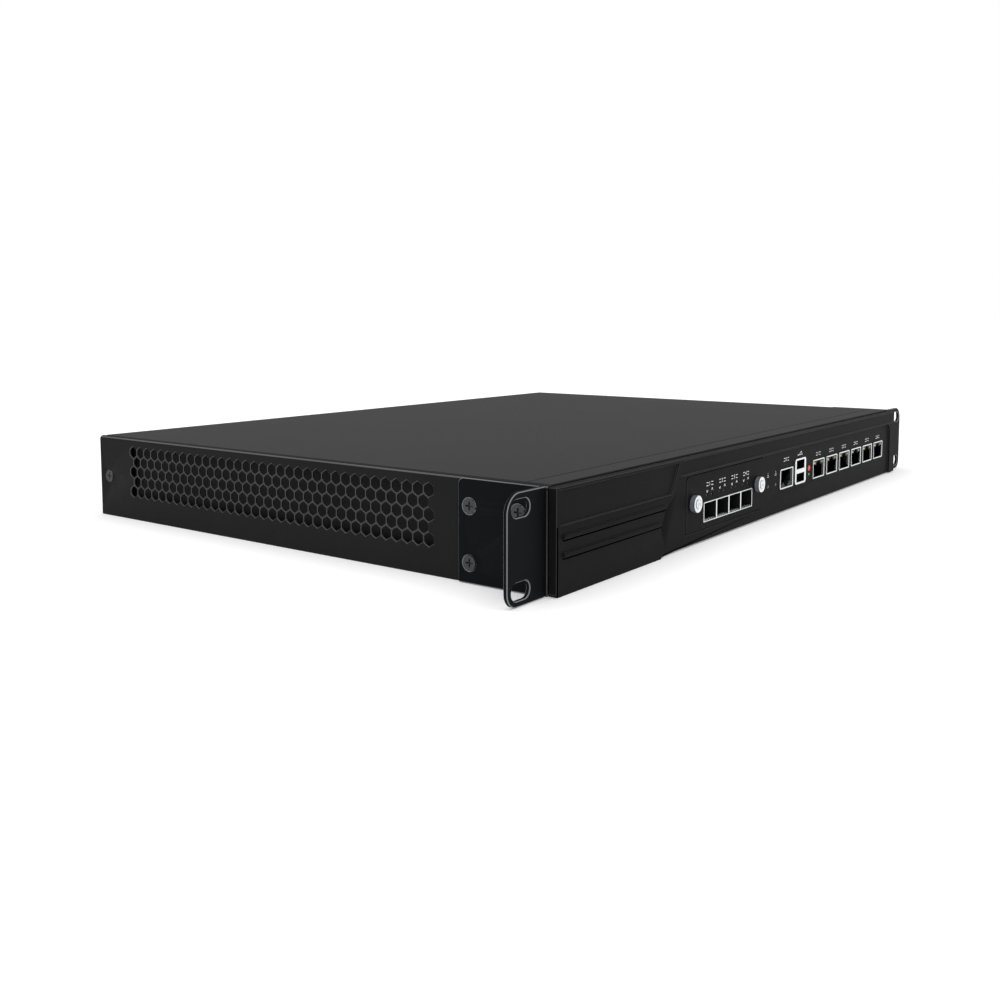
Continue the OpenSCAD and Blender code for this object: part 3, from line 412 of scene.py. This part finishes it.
# Picks the walls of the narrow grooves beside the bezel face, beside the badge and under the ribs. These
# walls are painted near-black as shadow.
def bezel_faces(center, normal, index):
    x, z = center.x / MM, center.z / MM
    depth = (center.y - ear_face_y) / MM + 4.4
    if not 0.3 < depth < 1.5:
        return None
    beside_face = -214.7 < x < -213.9 and z < 28.5
    beside_badge = -212.4 < x < -211.5 and z > 28.2
    under_rib = any(x < right + 1.7 and abs(z - rib_z) < 2.2 for right, rib_z in ((-127, 23.6), (-131, 16.3)))
    return 2 if beside_face or beside_badge or under_rib else None


# Picks the faces of the side panels' top bend, which get the painted bend highlight.
def side_faces(center, normal, index):
    on_bend = 0.42 < abs(normal.x) < 0.86 and 0.42 < normal.z < 0.86 and center.z > body_top - 2.2 * MM
    return 2 if on_bend else None


def screw_faces(node):
    lo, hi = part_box(node)
    mid = (lo + hi) / 2

    def choose(center, normal, index):
        if normal.y < -0.7 and center.y < lo.y + 0.1 * MM:
            return 2
        radius = math.hypot(center.x - mid.x, center.z - mid.z)
        return 1 if radius > 3.2 * MM and center.y < port_y and normal.y > -0.9 else 0
    return choose


BLACK = MATERIALS["black_plastic"]
for node, width in (("left_side_panel", 0.28), ("right_side_panel", 0.28)):
    soften(node, width, PAINTED_RIM_HIGHLIGHT, side_faces, PAINTED_BEND_HIGHLIGHT)
for node, width in (("left_rack_ear", 0.35), ("right_rack_ear", 0.35)):
    soften(node, width, PAINTED_EAR_EDGE_HIGHLIGHT)
soften("front_bezel", 0.22, PAINTED_EDGE_HIGHLIGHT, bezel_faces, PAINTED_SEAM_SHADE)
soften("module_faceplate", 0.25, PAINTED_EDGE_HIGHLIGHT)
for node, width in (("top_cover", 0.3), ("front_top_rail", 0.25), ("rear_panel", 0.15), ("ac_inlet", 0.3),
                    ("switch_frame", 0.3), ("switch_rocker", 0.3), ("reset_button", 0.2)):
    soften(node, width)
soften("case_screws", 0.1, PAINTED_RIM_HIGHLIGHT)
for node in JACKS + ["console_jack"]:
    soften(node, 0.12, None, jack_faces(node), BLACK)
soften("usb_shell", 0.15, None, usb_faces, BLACK)
soften("sfp_cage", 0.08, None, cage_faces, BLACK)
for side in ("left", "right"):
    node = side + "_thumbscrew"
    soften(node, 0.12, DARK_NICKEL, screw_faces(node), PALE_FACE)


# ---------------------------------------------------------------- added detail
WIRE_SIDES = 6
STEPS_PER_TURN = 24
CONTACT_PITCH = 1.02 * MM
FLUSH = 0.02 * MM


def knurl(side):
    """Fine ridges round the barrel of a thumbscrew, and two turned rings on its face."""
    lo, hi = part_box(side + "_thumbscrew")
    mid = (lo + hi) / 2
    ridges, barrel, ridge_out, half = 44, 4.0 * MM, 4.09 * MM, 0.14 * MM
    bm = bmesh.new()
    for i in range(ridges):
        angle = i * math.tau / ridges
        spin = Matrix.Translation((mid.x, 0, mid.z)) @ Matrix.Rotation(angle, 4, "Y")
        first = len(bm.verts)
        add_box(bm, (barrel, lo.y + 1.0 * MM, -half), (ridge_out, port_y - 0.45 * MM, half))
        bm.verts.ensure_lookup_table()
        bmesh.ops.transform(bm, matrix=spin, verts=bm.verts[first:])
    finish_piece(new_piece(side + "_screw.knurl", bm), side + "_screw", "fastener_steel", DARK_NICKEL)
    bm = bmesh.new()
    for radius in (2.15, 3.35):
        tube_ring(bm, (mid.x, lo.y + 0.13 * MM, mid.z), radius * MM, 0.12 * MM)
    finish_piece(new_piece(side + "_screw.rings", bm), side + "_screw", "fastener_steel", DARK_NICKEL)


def wire_section(bm, centre, angle, radius, wire):
    """The corners of a round wire where it passes angle, on a loop of this radius about the y axis."""
    out = Vector((math.cos(angle), 0, math.sin(angle)))
    corners = []
    for k in range(WIRE_SIDES):
        b = k * math.tau / WIRE_SIDES
        at = centre + out * (radius + wire * math.cos(b)) + Vector((0, wire * math.sin(b), 0))
        corners.append(bm.verts.new(at))
    return corners


def tube_ring(bm, centre, radius, wire, around=48):
    centre = Vector(centre)
    rings = [wire_section(bm, centre, i * math.tau / around, radius, wire) for i in range(around)]
    for i in range(around):
        first, second = rings[i], rings[(i + 1) % around]
        for k in range(WIRE_SIDES):
            after = (k + 1) % WIRE_SIDES
            bm.faces.new((first[k], first[after], second[after], second[k]))


def coil_spring(node, turns, radius, wire):
    """A wound spring as long as its CAD node."""
    lo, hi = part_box(node)
    mid = (lo + hi) / 2
    y0, y1 = lo.y + wire, hi.y - wire
    bm = bmesh.new()
    steps = int(turns * STEPS_PER_TURN)
    rings = []
    for i in range(steps + 1):
        share = i / steps
        centre = Vector((mid.x, y0 + (y1 - y0) * share, mid.z))
        rings.append(wire_section(bm, centre, share * turns * math.tau, radius, wire))
    for first, second in zip(rings, rings[1:]):
        for k in range(WIRE_SIDES):
            after = (k + 1) % WIRE_SIDES
            bm.faces.new((first[k], second[k], second[after], first[after]))
    bm.faces.new(rings[0])
    bm.faces.new(rings[-1][::-1])
    obj = new_piece(node + ".coil", bm)
    obj.data.materials.append(MATERIALS["spring_steel"])
    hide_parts(node)
    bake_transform(obj)


def jack_detail(name, node, tab):
    """Eight bent contacts, and two lamp windows when tab is positive."""
    lo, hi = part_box(node)
    mid_x = (lo.x + hi.x) / 2
    plug_z = jack_mid.z - 1.3 * tab * MM
    wall_z = plug_z - tab * 3.4 * MM
    bm = bmesh.new()
    for i in range(8):
        x = mid_x + (i - 3.5) * CONTACT_PITCH
        path = [(x, port_y + 2 * MM, wall_z), (x, port_y + 3 * MM, wall_z + tab * 0.3 * MM),
                (x, port_y + 9 * MM, wall_z + tab * 2.4 * MM),
                (x, port_y + 9.6 * MM, wall_z + tab * 2.3 * MM)]
        add_strip(bm, path, 0.5 * MM, 0.2 * MM)
    finish_piece(new_piece(name + ".contacts", bm), CASE, "port_metal", GOLD)
    for side, mat in ((-1, YELLOW_LENS), (1, GREEN_LENS)) if tab > 0 else ():
        bm = bmesh.new()
        x = mid_x + side * 6.1 * MM
        z = jack_mid.z + tab * 3.5 * MM
        y = lo.y + 0.28 * MM
        add_box(bm, (x - 1.2 * MM, y, z - 0.6 * MM), (x + 1.2 * MM, y + 0.2 * MM, z + 0.6 * MM), 0.06)
        label = "yellow" if side < 0 else "green"
        finish_piece(new_piece("%s.%s" % (name, label), bm), CASE, "port_metal", mat)


def usb_detail():
    mid = middle("usb_shell")
    bm = bmesh.new()
    for sign in (-0.5, 0.5):
        z = mid.z + sign * 7.6 * MM - 0.2 * MM
        for i in range(4):
            x = mid.x + (i - 1.5) * 2.4 * MM
            path = [(x, port_y + 2 * MM, z), (x, port_y + 7 * MM, z - 0.15 * MM), (x, port_y + 12 * MM, z)]
            add_strip(bm, path, 1.0 * MM, 0.15 * MM)
    finish_piece(new_piece("usb.contacts", bm), CASE, "port_metal", GOLD)
    bm = bmesh.new()
    add_box(bm, (mid.x - 5.6 * MM, port_y - 0.59 * MM, mid.z - 0.75 * MM),
            (mid.x + 5.6 * MM, port_y - 0.5 * MM, mid.z + 0.75 * MM), 0.03)
    finish_piece(new_piece("usb.bar", bm), CASE, "tongue_teal", PALE_BAR)


def cage_detail():
    """Spring fingers along the lower lip of each optical port, and the contacts inside."""
    bm = bmesh.new()
    for centre in SFP_X:
        for i in range(5):
            x = centre + (i - 2) * 2.4 * MM
            z = cage_low.z + 0.62 * MM
            add_strip(bm, [(x, cage_low.y + 0.25 * MM, z), (x, cage_low.y + 0.8 * MM, z + 0.45 * MM),
                           (x, cage_low.y + 3.6 * MM, z + 0.1 * MM)], 1.5 * MM, 0.15 * MM)
    finish_piece(new_piece("cage.fingers", bm), MODULE, "port_metal", MATERIALS["port_metal"])
    bm = bmesh.new()
    for centre in SFP_X:
        for i in range(10):
            x = centre + (i - 4.5) * 0.8 * MM
            path = [(x, port_y + 33 * MM, cage_low.z + 2.2 * MM),
                    (x, port_y + 36 * MM, cage_low.z + 2.6 * MM)]
            add_strip(bm, path, 0.4 * MM, 0.15 * MM)
    finish_piece(new_piece("cage.contacts", bm), MODULE, "port_metal", GOLD)
    bm = bmesh.new()
    for centre in SFP_X:
        for side in (-1, 1):
            x = centre + side * SFP_LAMP_OFF
            add_rod(bm, (x, port_y + 0.3 * MM, lamp_z), (x, port_y + 2.9 * MM, lamp_z), 0.86 * MM, 16)
    finish_piece(new_piece("cage.lamps", bm), MODULE, "light_guide", MATERIALS["light_guide"])


def seam_liners():
    """Near-black strips at the bottom of the gaps between the top sheets and the bezel: painted shade that
    keeps the gaps black.
    """
    rail_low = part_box("front_top_rail")[0]
    cover_low, cover_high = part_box("top_cover")
    floor_z = body_top - 1.15 * MM
    cut = 0.04 * MM
    bm = bmesh.new()
    for y0, y1 in ((bezel_high.y, rail_low.y), (rail_seam_y, cover_low.y)):
        add_box(bm, (cover_low.x, y0 + cut, floor_z), (cover_high.x, y1 - cut, floor_z + 0.5 * MM), 0.05)
    for side in (-1, 1):
        x0, x1 = sorted((side * (cover_high.x + cut), side * (cover_high.x + 0.86 * MM)))
        add_box(bm, (x0, rail_low.y, floor_z), (x1, cover_high.y - 1.3 * MM, floor_z + 0.5 * MM), 0.05)
    x, y = face_low.x - 0.05 * MM, port_y + 1.2 * MM
    add_box(bm, (x - 0.8 * MM, y, face_low.z), (x, y + 0.5 * MM, face_high.z - 2.0 * MM), 0.05)
    finish_piece(new_piece("seam.shade_strips", bm), CASE, "black_plastic", PAINTED_SEAM_SHADE)


def lamp_cap(name, x, z, mat):
    bm = bmesh.new()
    add_rod(bm, (x, port_y - 0.36 * MM, z), (x, port_y - 0.2 * MM, z), 0.55 * MM, 20)
    bmesh.ops.bevel(bm, geom=[e for e in bm.edges], offset=0.04 * MM, segments=1, affect="EDGES")
    finish_piece(new_piece(name, bm), CASE, "light_guide", mat)


def print_marks():
    """Numbers over the ports with small bars beside them, a mark over the USB port, and bars and arrows
    beside the lamps.
    """
    marks = []
    for i, node in enumerate(JACKS, 1):
        marks.append((CASE, "port_number_%d" % i, str(i), middle(node).x, jack_high.z + 3.1 * MM))
    marks.append((CASE, "console_number", "0", middle("console_jack").x, jack_high.z + 4.9 * MM))
    for i, centre in enumerate(SFP_X, 1):
        marks.append((MODULE, "optical_number_%d" % i, str(i), centre, cage_high.z + 8.4 * MM))
    bars = {}
    for body, name, words, x, z in marks:
        for run in (-1, 1):
            bars.setdefault(body, []).append((x + run * 2.6 * MM, z))
        mesh = text_mesh(name, words, LABEL_SIZE, x, port_y - FLUSH, z)
        obj = bpy.data.objects.new(name, mesh)
        bpy.context.scene.collection.objects.link(obj)
        finish_piece(obj, body, "bezel_grey", PRINT)
    flat = port_y - FLUSH
    for body, places in bars.items():
        bm = bmesh.new()
        for x, z in places:
            for dz in (-0.75, 0.75):
                bar_z = z + dz * MM
                add_rod(bm, (x - 0.9 * MM, flat, bar_z), (x + 0.9 * MM, flat, bar_z), 0.22 * MM, 8)
        finish_piece(new_piece(body + ".bars", bm), body, "bezel_grey", PRINT)
    bm = bmesh.new()
    usb = middle("usb_shell")
    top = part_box("usb_shell")[1].z + 2.0 * MM
    arm = top + 1.4 * MM
    add_rod(bm, (usb.x - 3 * MM, flat, top), (usb.x + 3 * MM, flat, top), 0.16 * MM, 8)
    add_rod(bm, (usb.x - 1 * MM, flat, top), (usb.x + 0.6 * MM, flat, arm), 0.16 * MM, 8)
    add_rod(bm, (usb.x + 0.6 * MM, flat, arm), (usb.x + 2.2 * MM, flat, arm), 0.16 * MM, 8)
    for x, z in ((-3, 0), (3, 0), (2.2, 1.4)):
        add_box(bm, (usb.x + (x - 0.4) * MM, flat - 0.02 * MM, top + (z - 0.4) * MM),
                (usb.x + (x + 0.4) * MM, flat + 0.02 * MM, top + (z + 0.4) * MM))
    finish_piece(new_piece("usb.mark", bm), CASE, "bezel_grey", PRINT)
    bm = bmesh.new()
    for x in STATUS_X:
        for k in range(3):
            add_rod(bm, (x - (1.2 - 0.5 * k) * MM, flat, jack_mid.z + (3.4 + k) * MM),
                    (x + (1.2 - 0.5 * k) * MM, flat, jack_mid.z + (3.4 + k) * MM), 0.16 * MM, 8)
    finish_piece(new_piece("lamp.marks", bm), CASE, "bezel_grey", PRINT)
    bm = bmesh.new()
    for centre in SFP_X:
        for side in (-1, 1):
            x = centre + side * SFP_LAMP_OFF
            tip = lamp_z + (2.0 + 0.6 * (side > 0)) * MM
            for run in (-1, 1):
                start = (x, flat, tip + side * 0.6 * MM)
                add_rod(bm, start, (x + run * 0.8 * MM, flat, tip - side * 0.5 * MM), 0.15 * MM, 6)
    finish_piece(new_piece("optical.arrows", bm), MODULE, "bezel_grey", PRINT)


def sheet_screen():
    """A folded dust screen behind the vents of each side."""
    for side, name in ((-1, "left"), (1, "right")):
        bm = bmesh.new()
        x, inner = side * 211.2 * MM, side * (211.2 - 3.0) * MM
        low, middle_z, high = 9.5 * MM, 25.5 * MM, 40.5 * MM
        add_strip(bm, [(inner, 0, low), (x, 0, low), (x, 0, middle_z), (x, 0, high), (inner, 0, high)],
                  226.0 * MM, 0.3 * MM, side=(0, 1, 0))
        bmesh.ops.translate(bm, verts=bm.verts, vec=(0, ear_face_y + 163.0 * MM, 0))
        finish_piece(new_piece(name + ".screen", bm), CASE, "sheet_dark", SCREEN)


def board_parts(name, body, slot, boxes, place_z, count, keep_out):
    """Small chips and capacitors scattered over a board, clear of what stands on it."""
    (x0, y0), (x1, y1) = boxes
    chips, caps, ends = bmesh.new(), bmesh.new(), bmesh.new()
    placed = list(keep_out)
    for _ in range(count):
        small = rng.random() < 0.7
        half_x = rng.uniform(0.5, 0.9) if small else rng.uniform(2.0, 5.0)
        half_y = half_x * (0.6 if small else rng.choice((0.7, 1.0)))
        x = rng.uniform(x0 + half_x, x1 - half_x)
        y = rng.uniform(y0 + half_y, y1 - half_y)
        spot = (x - half_x - 0.6, y - half_y - 0.6, x + half_x + 0.6, y + half_y + 0.6)
        if any(spot[0] < b[2] and spot[2] > b[0] and spot[1] < b[3] and spot[3] > b[1] for b in placed):
            continue
        placed.append(spot)
        tall = 0.6 if small else 1.1
        target = caps if small else chips
        add_box(target, ((x - half_x) * MM, (y - half_y) * MM, place_z),
                ((x + half_x) * MM, (y + half_y) * MM, place_z + tall * MM), 0.06)
        if small:
            for sign in (-1, 1):
                add_box(ends, ((x + sign * half_x) * MM - 0.22 * MM, (y - half_y - 0.05) * MM, place_z),
                        ((x + sign * half_x) * MM + 0.22 * MM, (y + half_y + 0.05) * MM, place_z + 0.66 * MM))
        else:
            for k in range(int(half_y * 1.6)):
                pin_y = y - half_y + 0.5 + k * 1.2
                add_box(ends, ((x - half_x - 0.5) * MM, (pin_y - 0.15) * MM, place_z),
                        ((x + half_x + 0.5) * MM, (pin_y + 0.15) * MM, place_z + 0.3 * MM))
    finish_piece(new_piece(name + ".chips", chips), body, slot, CHIP)
    finish_piece(new_piece(name + ".capacitors", caps), body, slot, CERAMIC)
    finish_piece(new_piece(name + ".pins", ends), body, slot, TIN)


def card_fingers():
    """Gold contacts on both faces of the module card's tongue."""
    card_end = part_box("module_card")[1].y
    top = cage_low.z
    bm = bmesh.new()
    for i in range(32):
        x = (cage_low.x + cage_high.x) / 2 + (i - 15.5) * 1.7 * MM
        for z in (top, top - 1.65 * MM):
            add_box(bm, (x - 0.5 * MM, card_end - 5.6 * MM, z),
                    (x + 0.5 * MM, card_end - 0.6 * MM, z + 0.05 * MM))
    finish_piece(new_piece("card.fingers", bm), MODULE, "board_green", GOLD)


def node_boxes(names, margin=1.0):
    out = []
    for name in names:
        lo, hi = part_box(name)
        out.append((lo.x / MM - margin, lo.y / MM - margin, hi.x / MM + margin, hi.y / MM + margin))
    return out


for side in ("left", "right"):
    knurl(side)
for side in ("left", "right"):
    coil_spring(side + "_thumbscrew_spring", 3.0, 2.2 * MM, 0.16 * MM)
coil_spring("reset_spring", 5.0, 1.9 * MM, 0.2 * MM)
for i, node in enumerate(JACKS):
    jack_detail("network_%d" % (i + 1), node, 1)
jack_detail("console", "console_jack", -1)
usb_detail()
cage_detail()
print_marks()
sheet_screen()
seam_liners()
card_fingers()
main_low, main_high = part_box("motherboard")
main_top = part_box("processor")[0].z
standing = ["usb_shell", "console_jack", "reset_switch", "processor_heatsink", "memory_sockets",
            "storage_card", "coin_cell", "light_pipes", "board_screws"] + JACKS
blocks = [(62, main_low.y / MM + 18, 190, main_low.y / MM + 50),
          (148, main_high.y / MM - 26, 178, main_high.y / MM)]
standing_boxes = [box for box in node_boxes(standing) if box[2] - box[0] < 100] + blocks
board_parts("main_board", CASE, "board_green", ((main_low.x / MM + 10, main_low.y / MM + 24),
            (main_high.x / MM - 9, main_high.y / MM - 8)), main_top, 480, standing_boxes)
card_low, card_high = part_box("module_card")
card_mid = (cage_low.x + cage_high.x) / 2 / MM
caps = [(card_mid + x - 5, card_low.y / MM + 114, card_mid + x + 5, card_low.y / MM + 125) for x in (-24, 24)]
board_parts("card", MODULE, "board_green", ((card_mid - 37, card_low.y / MM + 49),
            (card_mid + 37, card_high.y / MM - 9)), cage_low.z, 260, node_boxes(["module_heatsink"]) + caps)
pipe_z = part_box("light_pipes")[0].z
lamp_cap("power_lamp", middle("reset_button").x, pipe_z + 1.0 * MM, LIT_GREEN)


# ---------------------------------------------------------------- camera, light, floor
def studio():
    world = bpy.data.worlds.new("studio")
    bpy.context.scene.world = world
    world.use_nodes = True
    tree = world.node_tree
    background = tree.nodes["Background"]
    background.inputs["Color"].default_value = (1, 1, 1, 1)
    path = tree.nodes.new("ShaderNodeLightPath")
    level = add(tree, "ShaderNodeMapRange")
    level.inputs["To Min"].default_value = SKY_LIGHT
    level.inputs["To Max"].default_value = SKY_SEEN
    tree.links.new(path.outputs["Is Camera Ray"], level.inputs["Value"])
    tree.links.new(level.outputs["Result"], background.inputs["Strength"])
    bm = bmesh.new()
    bmesh.ops.create_grid(bm, x_segments=1, y_segments=1, size=FLOOR_HALF)
    floor = new_piece("floor", bm)
    pale = surface("pale_floor", (0.9, 0.9, 0.9), 0.9, specular=0.0, vary=0.005, grain=40.0, strength=0.05)
    glow = pale.node_tree.nodes["Principled BSDF"]
    glow.inputs["Emission Color"].default_value = (1, 1, 1, 1)
    glow.inputs["Emission Strength"].default_value = FLOOR_GLOW
    floor.data.materials.append(pale)
    sun = bpy.data.lights.new("overhead", "SUN")
    sun.angle = SUN_SPREAD
    sun.energy = SUN_POWER
    lamp = bpy.data.objects.new("overhead", sun)
    lamp.rotation_euler = SUN_TILT
    bpy.context.scene.collection.objects.link(lamp)


def photo_camera():
    data = bpy.data.cameras.new("view")
    data.sensor_width = SENSOR
    data.lens = LENS
    data.shift_y = SHIFT_Y
    data.clip_start = 0.01
    cam = bpy.data.objects.new("view", data)
    cam.location = (CAMERA_X, ear_face_y - CAMERA_BEFORE_EAR, CAMERA_Z)
    level = math.cos(CAMERA_TILT)
    forward = Vector((math.sin(CAMERA_TURN) * level, math.cos(CAMERA_TURN) * level, math.sin(CAMERA_TILT)))
    cam.rotation_euler = forward.to_track_quat("-Z", "Y").to_euler()
    bpy.context.scene.collection.objects.link(cam)
    bpy.context.scene.camera = cam


studio()
photo_camera()
bpy.context.scene.view_settings.view_transform = "Standard"
